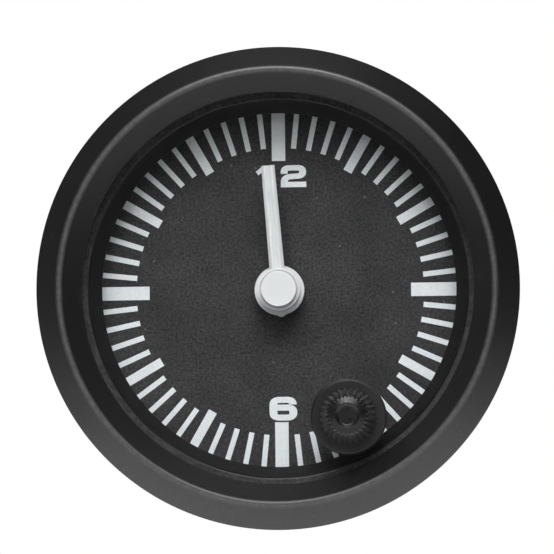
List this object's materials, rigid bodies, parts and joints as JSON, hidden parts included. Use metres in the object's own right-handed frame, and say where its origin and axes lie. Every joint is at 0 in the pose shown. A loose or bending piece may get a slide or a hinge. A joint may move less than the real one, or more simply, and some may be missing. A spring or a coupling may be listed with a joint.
{
  "type": "car dashboard clock",
  "caption": "Round panel clock with black sloped bezel, flat lens, dark dial with white marks, white hands, push-and-turn setting knob and geared quartz movement.",
  "frame": {"origin": "on the dial's axis, in the plane where the bezel meets the panel", "axes": "-Y out of the dial towards the driver, +Y along the barrel to the rear, +Z towards twelve, +X towards three"},
  "size_m": [0.0604, 0.0572, 0.0604],
  "materials": {
    "bezel_plastic": "satin black moulding",
    "clear_lens": "clear polished",
    "seal_rubber": "soft black",
    "case_plastic": "fine grained black",
    "ring_plastic": "satin black",
    "dial_paint": "matt dark grey",
    "mark_paint": "matt white print",
    "hand_plastic": "white moulding",
    "knob_plastic": "semi-gloss black",
    "steel": "plain",
    "brass": "plain",
    "movement_plastic": "ivory moulding",
    "motor_iron": "dark",
    "copper_wire": "enamelled",
    "board_laminate": "solder resist",
    "can_sleeve": "sleeve over can",
    "bulb_glass": "clear"
  },
  "bodies": {
    "case": {"bezel": "bezel_plastic", "lens": "clear_lens", "lens_seal": "seal_rubber", "panel_gasket": "seal_rubber", "case": "case_plastic", "dial_ring": "ring_plastic", "dial": "dial_paint", "dial_marks": "mark_paint", "stem_bush": "knob_plastic", "bush_nut": "knob_plastic", "stem_seal": "seal_rubber", "return_spring": "steel", "front_plate": "movement_plastic", "rear_plate": "movement_plastic", "plate_screws": "steel", "minute_post": "steel", "stator": "motor_iron", "coil_core": "motor_iron", "coil_bobbin": "knob_plastic", "coil_winding": "copper_wire", "circuit_board": "board_laminate", "quartz_crystal": "steel", "control_chip": "knob_plastic", "capacitor": "can_sleeve", "blade_terminals": "brass", "clamp_studs": "steel", "stud_nuts": "steel", "lamp_holder": "case_plastic", "lamp_contacts": "brass", "lamp_bulb": "bulb_glass"},
    "minute": {"minute_hand": "hand_plastic", "hub_cap": "hand_plastic", "cannon_pinion": "brass", "centre_arbor": "steel", "centre_wheel": "brass"},
    "hour": {"hour_hand": "hand_plastic", "hour_wheel": "movement_plastic"},
    "motion_wheel": {"minute_wheel": "movement_plastic"},
    "third": {"third_wheel": "brass"},
    "rotor": {"rotor_pinion": "movement_plastic", "rotor_magnet": "motor_iron"},
    "push": {"thrust_washer": "steel"},
    "knob": {"setting_knob": "knob_plastic", "setting_stem": "steel", "setting_pinion": "brass", "stem_clip": "steel"}
  },
  "joints": [
    {"name": "minute_turn", "type": "hinge", "parent": "case", "child": "minute", "pos_m": [0, 0.005, 0], "axis": [0, 1, 0], "continuous": true},
    {"name": "hour_turn", "type": "hinge", "parent": "case", "child": "hour", "pos_m": [0, 0.006, 0], "axis": [0, 1, 0], "continuous": true},
    {"name": "motion_wheel_turn", "type": "hinge", "parent": "case", "child": "motion_wheel", "pos_m": [0.00384, 0.01, -0.00722], "axis": [0, 1, 0], "continuous": true},
    {"name": "third_turn", "type": "hinge", "parent": "case", "child": "third", "pos_m": [-0.00463, 0.014, 0.00552], "axis": [0, 1, 0], "continuous": true},
    {"name": "rotor_turn", "type": "hinge", "parent": "case", "child": "rotor", "pos_m": [-0.0102, 0.015, 0.00162], "axis": [0, 1, 0], "continuous": true},
    {"name": "knob_push", "type": "slide", "parent": "case", "child": "push", "axis": [0, 1, 0], "range_m": [0, 0.0012], "stiffness_N_per_m": 300, "springref_m": -0.002, "deforming": ["return_spring"]},
    {"name": "knob_turn", "type": "hinge", "parent": "push", "child": "knob", "pos_m": [0.00864, 0, -0.01625], "axis": [0, 1, 0], "continuous": true}
  ],
  "couplings": [
    {"joint": "hour_turn", "follows": "minute_turn", "ratio": 0.083333},
    {"joint": "motion_wheel_turn", "follows": "minute_turn", "ratio": -0.33333},
    {"joint": "third_turn", "follows": "minute_turn", "ratio": -8},
    {"joint": "rotor_turn", "follows": "minute_turn", "ratio": 60}
  ]
}
